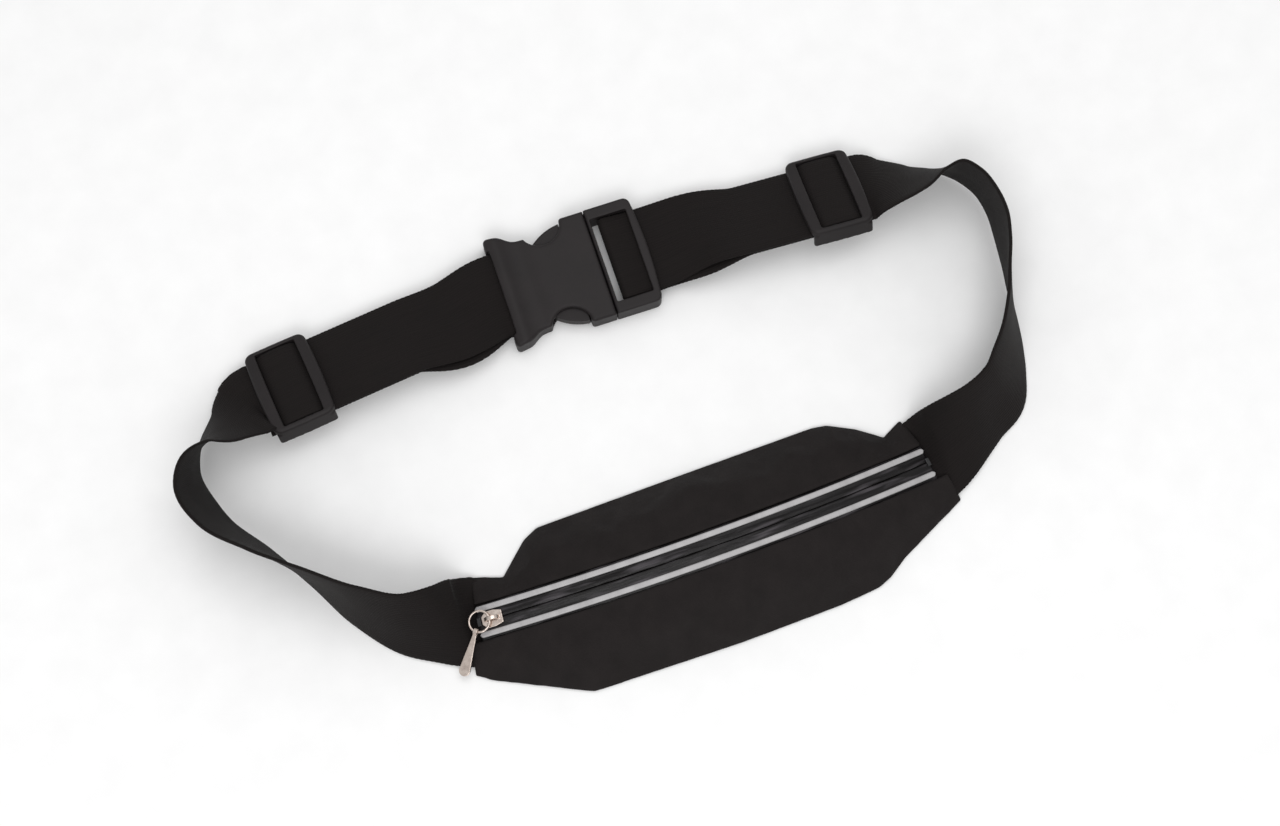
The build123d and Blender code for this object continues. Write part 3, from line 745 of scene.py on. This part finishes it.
# The tape's half section, from the lip over the coil to the cut edge hidden inside the pouch.
TAPE_SECTION = (
    (0.10, 0.74), (0.24, 0.98), (0.8, 1.12), (1.5, 1.06), (2.0, 0.84), (2.5, 0.58), (3.4, 0.43), (5.0, 0.40),
    (6.9, 0.38), (7.9, -0.1), (8.8, -1.1), (10.2, -1.8), (12.0, -2.1), (12.1, -2.4), (12.0, -2.7),
    (9.8, -2.4), (8.2, -1.6), (7.2, -0.7), (6.0, -0.4), (2.6, -0.4), (2.1, -0.2), (1.95, 0.5),
    (1.5, 0.82), (0.9, 0.86), (0.35, 0.78),
)
TAPE_BEND = 7.4           # beyond this the tape dives under the panel
TAPE_UNDER = 1.3
TAPE_FILM = 0.25          # the tape's thickness there
TAPE_LOW_FACE = 0.7       # points this near the section's lowest are on its under face


def under_the_panel(rings, section):
    """The rings with the tape's outer part kept below the pouch's dome."""
    outer = [k for k, (v, _) in enumerate(section) if abs(v) > TAPE_BEND]
    low = min(h for _, h in section)
    for ring in rings:
        for k in outer:
            depth = TAPE_UNDER + TAPE_FILM * (section[k][1] <= low + TAPE_LOW_FACE)
            ring[k, 2] = min(ring[k, 2], dome(ring[k, 0], ring[k, 1]) - depth)
    return rings


def zip_tapes(strips):
    """Two coated tapes whose lips close over the coil; the strips argument is not used."""
    for side, sign in HALVES:
        section = [(sign * v, h) for v, h in TAPE_SECTION][::-sign]
        rings = under_the_panel(zip_sweep(section), section)
        piece = make_piece(f"zip_tape_{side}_film", FILM, "zip_tape", *sweep(rings))
        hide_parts(f"zip_tape_{side}")
        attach(piece, "pouch")


COIL_PITCH = 1.3
COIL_SECTIONS = (         # across the zip, half length along it, half height
    (0.1, 0.16, 0.22), (0.18, 0.34, 0.48), (0.5, 0.42, 0.62), (1.2, 0.36, 0.60), (1.75, 0.32, 0.52),
    (1.85, 0.12, 0.2),
)
COIL_SIDES = 8
COIL_FREE = 0.003         # angle at each end of the zip without turns


def coil_turn(angle, sign):
    """One turn of the coil: a small rounded loop that stands out from the tape's edge."""
    rings = []
    for v, wide, tall in COIL_SECTIONS:
        ring = []
        for k in range(COIL_SIDES):
            turned = 2 * pi * k / COIL_SIDES
            place = angle + wide * cos(turned) / ZIP_RADIUS
            ring.append(zip_place(place, sign * v, tall * sin(turned)))
        rings.append(ring)
    return sweep(np.array(rings)[:, ::-sign])


def zip_coils():
    """Two rows of turns, half a pitch apart, so that they mesh."""
    step = COIL_PITCH / ZIP_RADIUS
    for side, sign, offset in (("upper", 1, step / 2), ("lower", -1, 0.0)):
        angles = np.arange(-ZIP_ANGLE + COIL_FREE, ZIP_ANGLE - COIL_FREE, step) + offset
        turns = join_parts([coil_turn(angle, sign) for angle in angles])
        piece = make_piece(f"zip_coil_{side}_teeth", COIL, "zip_coil", *turns)
        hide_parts(f"zip_coil_{side}")
        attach(piece, "pouch")


STRIP_LOW = 0.43
STRIP_HIGH = 1.0
STRIP_CROWN = 0.02
STRIP_INSET = 0.02
STRIP_BEVEL = (0.25, 0.2)
STRIP_ROWS = 420


def strip_pinch(section, left_over):
    """The strip's end is cut round: it narrows over its last half width."""
    middle = (STRIP_IN + STRIP_OUT) / 2
    half = (STRIP_OUT - STRIP_IN) / 2
    gone = max(0.0, 1 - left_over / half)
    share = sqrt(max(0.02, 1 - gone * gone))
    return [(middle * np.sign(v) + (v - middle * np.sign(v)) * share, h) for v, h in section]


def reflective_strips():
    """The two strips, by side."""
    made = {}
    inner, outer = STRIP_IN + STRIP_INSET, STRIP_OUT - STRIP_INSET
    across, down = STRIP_BEVEL
    half = [(inner, STRIP_LOW), (inner, STRIP_HIGH - down), (inner + across, STRIP_HIGH)]
    half += [(inner + (outer - inner) * t, STRIP_HIGH + STRIP_CROWN) for t in (0.3, 0.5, 0.7)]
    half += [(outer - across, STRIP_HIGH), (outer, STRIP_HIGH - down), (outer, STRIP_LOW)]
    for side, sign in HALVES:
        section = [(sign * v, h) for v, h in half][::-sign]
        rings = zip_sweep(section, STRIP_ROWS, strip_pinch)
        piece = make_piece(f"reflective_strip_{side}_tape", SILVER, "reflective", *sweep(rings))
        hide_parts(f"reflective_strip_{side}")
        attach(piece, "pouch")
        made[side] = piece
    return made


# ---- pouch ----
SEAM_GUESS = 100.0        # where the search for an end seam starts
PANEL_COLUMNS = 150
PANEL_ROWS = 24
CLOTH = {                 # shrinking is negative: the cloth is that much too large
    "quality": 8, "mass": 0.15, "tension_stiffness": 20, "compression_stiffness": 20,
    "shear_stiffness": 8, "bending_stiffness": 12, "shrink_min": -0.006,
}
CLOTH_FRAMES = 24
CLOTH_CAP = 0.7           # the run moves no point further than this
PANEL_CURL = ((0.18, 0.05), (0.38, 0.28), (0.42, 0.55))
PANEL_SHELL = 0.6
PUCKER = 0.45
PUCKER_ROWS = 2.2         # rows over which the gathers at a seam die out
PUCKER_SCALE = (0.42, 0.1)
PUCKER_SEED = 7.7
STITCH_ROW = 2            # the row of the panel that the stitches follow, and their rise over it
STITCH_RISE = 0.1
BACK_COLUMNS = 200
BACK_ROWS = 16
BACK_INSET = 0.7
BACK_TOP = FABRIC - 0.15
BACK_LOW = 0.08
BACK_CURL = ((0.25, 0.1), (0.38, 0.35))
RIPPLE = 0.05
RIPPLE_SCALE = (0.05, 0.05)
RIPPLE_SEED = 1.2


def outline_at(points, x):
    """Y of an outline at x."""
    return float(np.interp(x, [p[0] for p in points], [p[1] for p in points]))


def crest(x):
    """Height of the pouch's dome over the back panel at x, at its top."""
    return zip_frame(asin(x / ZIP_RADIUS))[0][2] - FABRIC + PANEL_PROUD


def dome(x, y):
    """Height of the pouch's front over the table at x, y: an arc from edge to edge."""
    low, high, top = outline_at(BOTTOM_OUTLINE, x), outline_at(TOP_OUTLINE, x), crest(x)
    half = (high - low) / 2
    radius = (half * half + top * top) / (2 * top)
    off = y - (low + high) / 2
    return FABRIC + top - radius + sqrt(max(radius * radius - off * off, 0))


def zip_side(x, sign):
    """Where the panel's zip edge lies on the dome near x."""
    point, across, out = zip_frame(asin(x / ZIP_RADIUS))
    rise = 0.0
    for _ in range(6):
        place = point + across * sign * (TAPE_HALF + CLEAR) + out * rise
        rise += (dome(place[0], place[1]) - place[2]) / out[2]
    return place


def seam_x(y, sign):
    """X of an end seam at y; sign is +1 at the right end."""
    return sign * (TAB_X - CLEAR - (y - TAB_Y) * tan(TAB_SKEW))


def ends_of(curve):
    """X where a curve, y at x, meets the left and the right end seam."""
    ends = []
    for sign in (-1, 1):
        x = sign * SEAM_GUESS
        for _ in range(8):
            x = seam_x(curve(x), sign)
        ends.append(x)
    return ends


def panel_grid(sign):
    """Points of a front panel: rows from the zip to the outline, columns along the pouch."""
    outline = TOP_OUTLINE if sign > 0 else BOTTOM_OUTLINE
    inner_ends = ends_of(lambda x: zip_side(x, sign)[1])
    outer_ends = ends_of(lambda x: outline_at(outline, x))
    shares = np.linspace(0, 1, PANEL_COLUMNS)
    outer_x = outer_ends[0] + (outer_ends[1] - outer_ends[0]) * shares
    for corner, _ in outline:
        if outer_ends[0] < corner < outer_ends[1]:
            outer_x[np.abs(outer_x - corner).argmin()] = corner
    grid = np.zeros((PANEL_ROWS, PANEL_COLUMNS, 3))
    for c, share in enumerate((outer_x - outer_ends[0]) / (outer_ends[1] - outer_ends[0])):
        inner = zip_side(inner_ends[0] + (inner_ends[1] - inner_ends[0]) * share, sign)
        outer = np.array((outer_x[c], outline_at(outline, outer_x[c]), FABRIC))
        for r, t in enumerate(np.linspace(0, 1, PANEL_ROWS)):
            place = inner + (outer - inner) * t
            grid[r, c] = (place[0], place[1], dome(place[0], place[1]))
    return grid


def grid_faces(rows, columns, flip):
    faces = []
    for r in range(rows - 1):
        for c in range(columns - 1):
            face = (r * columns + c, r * columns + c + 1, (r + 1) * columns + c + 1, (r + 1) * columns + c)
            faces.append(face[::-1] if flip else face)
    return faces


def grid_border(rows, columns):
    """The indices of a grid's edge points, in order all the way round."""
    first_row = list(range(columns))
    last_column = [r * columns + columns - 1 for r in range(1, rows)]
    last_row = [(rows - 1) * columns + c for c in range(columns - 2, -1, -1)]
    first_column = [r * columns for r in range(rows - 2, 0, -1)]
    return first_row + last_column + last_row + first_column


def seen_from_above(points, faces):
    """One uv for each corner of each face: across and along the pouch."""
    return [(points[i][1], points[i][0]) for face in faces for i in face]


def grid_normals(grid):
    normal = unit(np.cross(np.gradient(grid, axis=1), np.gradient(grid, axis=0)))
    return normal * np.sign(normal[..., 2:3].mean())


def curled(grid, steps):
    """The grid with all four edges rolled over; steps are (outwards, down) from the edge, in order."""
    for axis in (0, 1):
        for end in (0, -1):
            g = np.moveaxis(grid, axis, 0)
            n = np.moveaxis(grid_normals(grid), axis, 0)
            edge, inside = g[end], g[1 if end == 0 else -2]
            outward = unit(edge - inside)
            rings = [edge + outward * a - n[end] * b for a, b in steps]
            if end == 0:
                g = np.concatenate((np.array(rings[::-1]), g))
            else:
                g = np.concatenate((g, np.array(rings)))
            grid = np.moveaxis(g, 0, axis)
    return grid


def take_cloth(grid, flip):
    """Cloth simulation of a panel that is sewn down all round: slightly too large, so it puckers softly."""
    rows, columns, _ = grid.shape
    mesh = bpy.data.meshes.new("cloth run")
    mesh.from_pydata([tuple(p) for p in grid.reshape(-1, 3) * MM], [], grid_faces(rows, columns, flip))
    run = bpy.data.objects.new("cloth run", mesh)
    bpy.context.collection.objects.link(run)
    pins = run.vertex_groups.new(name="seams")
    pins.add(grid_border(rows, columns), 1.0, "REPLACE")
    cloth = run.modifiers.new("Cloth", "CLOTH")
    cloth.settings.vertex_group_mass = "seams"
    for setting, value in CLOTH.items():
        setattr(cloth.settings, setting, value)
    cloth.settings.effector_weights.gravity = 0
    cloth.collision_settings.use_collision = False
    cloth.point_cache.frame_end = CLOTH_FRAMES
    for step in range(1, CLOTH_FRAMES + 1):
        bpy.context.scene.frame_set(step)
    shaped = run.evaluated_get(bpy.context.evaluated_depsgraph_get()).to_mesh()
    places = np.array([v.co for v in shaped.vertices]).reshape(rows, columns, 3) / MM
    bpy.data.objects.remove(run)
    bpy.context.scene.frame_set(1)
    move = places - grid
    size = np.linalg.norm(move, axis=-1, keepdims=True)
    return grid + move * np.minimum(1, CLOTH_CAP / np.maximum(size, 1e-6))


def seam_pucker(grid):
    """Small gathers along the seams, where the stitching draws the cloth in."""
    rows, columns, _ = grid.shape
    normal = grid_normals(grid)
    place = np.arange(rows)
    gap = np.minimum(place, rows - 1 - place)[:, None] * np.ones((1, columns))
    strength = np.exp(-gap / PUCKER_ROWS) * (gap > 0)
    waves = ripples(grid, PUCKER_SCALE, PUCKER_SEED)
    return grid + normal * (PUCKER * strength * waves)[..., None]


STITCH = 2.1              # length of a stitch, and from one stitch to the next
STITCH_PITCH = 2.9
STITCH_FREE = (3.0, 5.0)  # lengths without stitches at the start and the end of a row
THREAD_RADIUS = 0.16
# along a stitch, its place in it, its depth in the cloth and its share of the thread's thickness
STITCH_PROFILE = ((0, 0.25, 0.3), (0.15, 0.02, 1), (0.5, -0.06, 1), (0.85, 0.02, 1), (1, 0.25, 0.3))


def topstitch(name, path):
    """A row of stitches along a path."""
    run = distances(path)
    stitches = []
    for start in np.arange(STITCH_FREE[0], run[-1] - STITCH_FREE[1], STITCH_PITCH):
        rings = []
        for t, sunk, thick in STITCH_PROFILE:
            place = np.array([np.interp(start + STITCH * t, run, path[:, k]) for k in range(3)]) - UP * sunk
            ring = [place + (np.array((0, 1, 0)) * cos(a) + UP * sin(a)) * THREAD_RADIUS * thick
                    for a in np.linspace(0, 2 * pi, 7)[:-1]]
            rings.append(ring)
        stitches.append(sweep(np.array(rings)))
    piece = make_piece(name, THREAD, "panel_fabric", *join_parts(stitches))
    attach(piece, "pouch")


def front_panel(side, sign):
    """One cloth of the pouch's front, between the zip and the outline, with its row of stitches."""
    grid = panel_grid(sign)
    grid = take_cloth(grid, sign > 0)
    grid = seam_pucker(grid)
    seam = grid[STITCH_ROW] + grid_normals(grid)[STITCH_ROW] * STITCH_RISE
    grid = curled(grid, PANEL_CURL)
    rows, columns, _ = grid.shape
    faces = grid_faces(rows, columns, sign > 0)
    points = grid.reshape(-1, 3)
    uvs = seen_from_above(points, faces)
    piece = make_piece(f"front_panel_{side}_cloth", PANEL, "panel_fabric", points, faces, uvs)
    topstitch(f"front_panel_{side}_stitches", seam)
    shell = piece.modifiers.new("thickness", "SOLIDIFY")
    shell.thickness = PANEL_SHELL * MM
    shell.offset = -1
    fine = piece.modifiers.new("smooth", "SUBSURF")
    fine.levels = fine.render_levels = 1
    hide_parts(f"front_panel_{side}")
    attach(piece, "pouch")


def long_side(outline, sign):
    """A long side of the pouch on the table, from left to right, drawn in; sign is +1 on the lower one."""
    start, end = ends_of(lambda x: outline_at(outline, x))
    return np.array([(x, outline_at(outline, x) + sign * BACK_INSET)
                     for x in np.linspace(start + BACK_INSET, end - BACK_INSET, BACK_COLUMNS)])


def back_panel():
    """The back of the pouch: one layer of cloth, with a rounded turned edge all round."""
    upper, lower = long_side(TOP_OUTLINE, -1), long_side(BOTTOM_OUTLINE, 1)
    places = np.array([upper * t + lower * (1 - t) for t in np.linspace(0, 1, BACK_ROWS)])
    ripple = ripples(places, RIPPLE_SCALE, RIPPLE_SEED) * RIPPLE
    grid = curled(np.dstack((places, BACK_TOP + ripple)), BACK_CURL)
    under = curled(np.dstack((places, BACK_LOW + ripple)), [(a, -b) for a, b in BACK_CURL])
    rows, columns, _ = grid.shape
    count = rows * columns
    points = np.concatenate((grid.reshape(-1, 3), under.reshape(-1, 3)))
    faces = grid_faces(rows, columns, False) + [
        tuple(i + count for i in face) for face in grid_faces(rows, columns, True)]
    border = grid_border(rows, columns)
    faces += [(b, a, a + count, b + count) for a, b in zip(border, border[1:] + border[:1])]
    uvs = seen_from_above(points, faces)
    piece = make_piece("back_panel_cloth", PANEL, "panel_fabric", points, faces, uvs)
    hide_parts("back_panel")
    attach(piece, "pouch")


for half, across_sign in HALVES:
    front_panel(half, across_sign)
back_panel()
zip_tapes(reflective_strips())
zip_coils()


# ---- moulded and metal parts ----
def soft_copy(node, name, body, material, slot, voxel, rounds, shape):
    """A CAD node's shape with moulded, softly rounded edges; shape() may move its points, in millimetres."""
    source = frame["nodes"][node]
    mesh = source.data.copy()
    mesh.transform(Matrix.Scale(1 / MM, 4))
    work = bpy.data.objects.new("remesh run", mesh)
    bpy.context.collection.objects.link(work)
    remesh = work.modifiers.new("remesh", "REMESH")
    remesh.mode = "VOXEL"
    remesh.voxel_size = voxel
    made = bpy.data.meshes.new_from_object(work.evaluated_get(bpy.context.evaluated_depsgraph_get()))
    bpy.data.objects.remove(work)
    bm = bmesh.new()
    bm.from_mesh(made)
    for _ in range(rounds):
        bmesh.ops.smooth_vert(
            bm, verts=bm.verts, factor=0.5, use_axis_x=True, use_axis_y=True, use_axis_z=True)
    bm.to_mesh(made)
    bm.free()
    points = np.array([v.co for v in made.vertices])
    if shape is not None:
        points = shape(points)
    faces = [tuple(p.vertices) for p in made.polygons]
    piece = make_piece(name, material, slot, points, faces)
    bpy.data.meshes.remove(made)
    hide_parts(node)
    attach(piece, body)


# height, place from the strap end and half length of the female half's roll and dish
COVER_ROLL = (1.0, 4.5, 3.2)
COVER_DISH = (-0.8, 13.5, 5.0)
COVER_FALL = 0.35         # how far the cover drops towards its two sides
GLIDE_BOW = 0.9
GLIDE_ARCH = 0.7
GLIDE_CROWN = 0.5


def buckle_place(points):
    """u, v, w of points in the buckle's own frame."""
    off = points - buckle_origin
    return off @ buckle_u, off @ buckle_v, off[:, 2]


def swell(u, height, place, reach):
    """A smooth bump of this height at a place."""
    return height * np.exp(-(((u - place) / reach) ** 2))


def crowned_cover(points):
    """The flared end of the female half is a convex roll, with a shallow dish behind it."""
    u, v, w = buckle_place(points)
    top = ramp(w, 2.5, 4.5)
    fall = COVER_FALL * np.clip(np.abs(v) / BUCKLE_HALF, 0, 1.1) ** 3
    return points + UP * ((swell(u, *COVER_ROLL) + swell(u, *COVER_DISH) - fall) * top)[:, None]


def bowed_glide(side):
    """The tri-glide's frame: its sides bow outwards and its rails are crowned."""
    across = np.cross(side.run, side.out)

    def shape(points):
        off = points - side.centre
        s, a, h = off @ side.run, off @ across, off @ side.out
        bow = GLIDE_BOW * (1 - (a / GLIDE_HALF) ** 2) * ramp(np.abs(s), 7.0, 13.0) * np.sign(s)
        arch = GLIDE_ARCH * (1 - (s / (GLIDE_LENGTH / 2)) ** 2) * ramp(np.abs(a), 20.0, 23.0) * np.sign(a)
        crown = GLIDE_CROWN * (1 - (a / GLIDE_HALF) ** 2) * ramp(h, 2.0, 4.0)
        return points + bow[:, None] * side.run + arch[:, None] * across + crown[:, None] * side.out
    return shape


# node, last word of the piece's name, body, material, slot, voxel size, rounds of smoothing, what shapes it
HARDWARE = (
    ("tri_glide_left", "moulding", "left_glide", PLASTIC, "plastic", 0.32, 4, bowed_glide(left)),
    ("tri_glide_right", "moulding", "right_glide", PLASTIC, "plastic", 0.32, 4, bowed_glide(right)),
    ("buckle_female", "moulding", "pouch", PLASTIC, "plastic", 0.32, 3, crowned_cover),
    ("buckle_male", "moulding", "male_half", PLASTIC, "plastic", 0.32, 3, None),
    ("buckle_tongue", "moulding", "male_half", PLASTIC, "plastic", 0.32, 3, None),
    ("prong_front", "moulding", "front_prong", PLASTIC, "plastic", 0.3, 3, None),
    ("prong_back", "moulding", "back_prong", PLASTIC, "plastic", 0.3, 3, None),
    ("zip_slider", "body", "slider", METAL, "metal", 0.13, 2, None),
    ("pull_ring", "wire", "ring", METAL, "metal", 0.11, 2, None),
    ("pull_tab", "plate", "tab", METAL, "metal", 0.13, 2, None),
    ("zip_stop_left", "clip", "pouch", COIL, "zip_coil", 0.1, 2, None),
    ("zip_stop_right", "clip", "pouch", COIL, "zip_coil", 0.1, 2, None),
)

for node, word, *how in HARDWARE:
    soft_copy(node, f"{node}_{word}", *how)


# ---- stage, lights and camera ----
FLOOR_HALF = 2500
FLOOR_CELLS = 40
WORLD_STRENGTH = 0.62


def floor():
    """A plain pale floor."""
    side = np.linspace(-FLOOR_HALF, FLOOR_HALF, FLOOR_CELLS + 1)
    grid = np.array([[(x, y, 0.0) for x in side] for y in side])
    faces = grid_faces(FLOOR_CELLS + 1, FLOOR_CELLS + 1, False)
    g = Graph("pale paper", Specular_IOR_Level=0.1)
    fine = g.noise(g.place("Object"), 60.0, 3.0)
    material = g.finish(g.colours(fine, (0.90, 0.90, 0.90), (0.93, 0.93, 0.93)), g.between(fine, 0.85, 0.95))
    piece = make_piece("floor", material, "none", grid.reshape(-1, 3), faces)


def area_light(name, place, aim, size, power):
    """A soft rectangular light at a place, turned to its aim."""
    lamp = bpy.data.lights.new(name, "AREA")
    lamp.shape = "RECTANGLE"
    lamp.size, lamp.size_y = size
    lamp.energy = power
    holder = bpy.data.objects.new(name, lamp)
    bpy.context.collection.objects.link(holder)
    holder.location = place
    holder.rotation_euler = (Vector(aim) - Vector(place)).to_track_quat("-Z", "Y").to_euler()


CAMERA_AZIMUTH = radians(-20.0)
CAMERA_HEIGHT = radians(75.0)
CAMERA_AWAY = 0.983
CAMERA_AIM = Vector((-0.0061, 0.0649, 0.0))
CAMERA_LENS = 65.0


def camera():
    """The camera, at the photograph's viewing angle."""
    data = bpy.data.cameras.new("camera")
    data.lens = CAMERA_LENS
    data.sensor_width = 36.0
    data.clip_start, data.clip_end = 0.01, 20.0
    holder = bpy.data.objects.new("camera", data)
    bpy.context.collection.objects.link(holder)
    back = Vector((sin(CAMERA_AZIMUTH) * cos(CAMERA_HEIGHT), -cos(CAMERA_AZIMUTH) * cos(CAMERA_HEIGHT),
                   sin(CAMERA_HEIGHT)))
    holder.location = CAMERA_AIM + back * CAMERA_AWAY
    holder.rotation_mode = "QUATERNION"
    holder.rotation_quaternion = (-back).to_track_quat("-Z", "Y")
    bpy.context.scene.camera = holder


def world():
    """Even white light from all round."""
    scene = bpy.context.scene
    scene.world = bpy.data.worlds.new("studio")
    scene.world.use_nodes = True
    background = scene.world.node_tree.nodes["Background"]
    background.inputs["Color"].default_value = (1.0, 1.0, 1.0, 1)
    background.inputs["Strength"].default_value = WORLD_STRENGTH
    scene.view_settings.view_transform = "Standard"


floor()
world()
area_light("key", (-0.35, -0.75, 1.15), (0, 0.05, 0), (0.9, 0.6), 6.5)
area_light("top", (0.15, 0.25, 1.5), (0, 0.06, 0), (1.2, 1.2), 7.0)
camera()
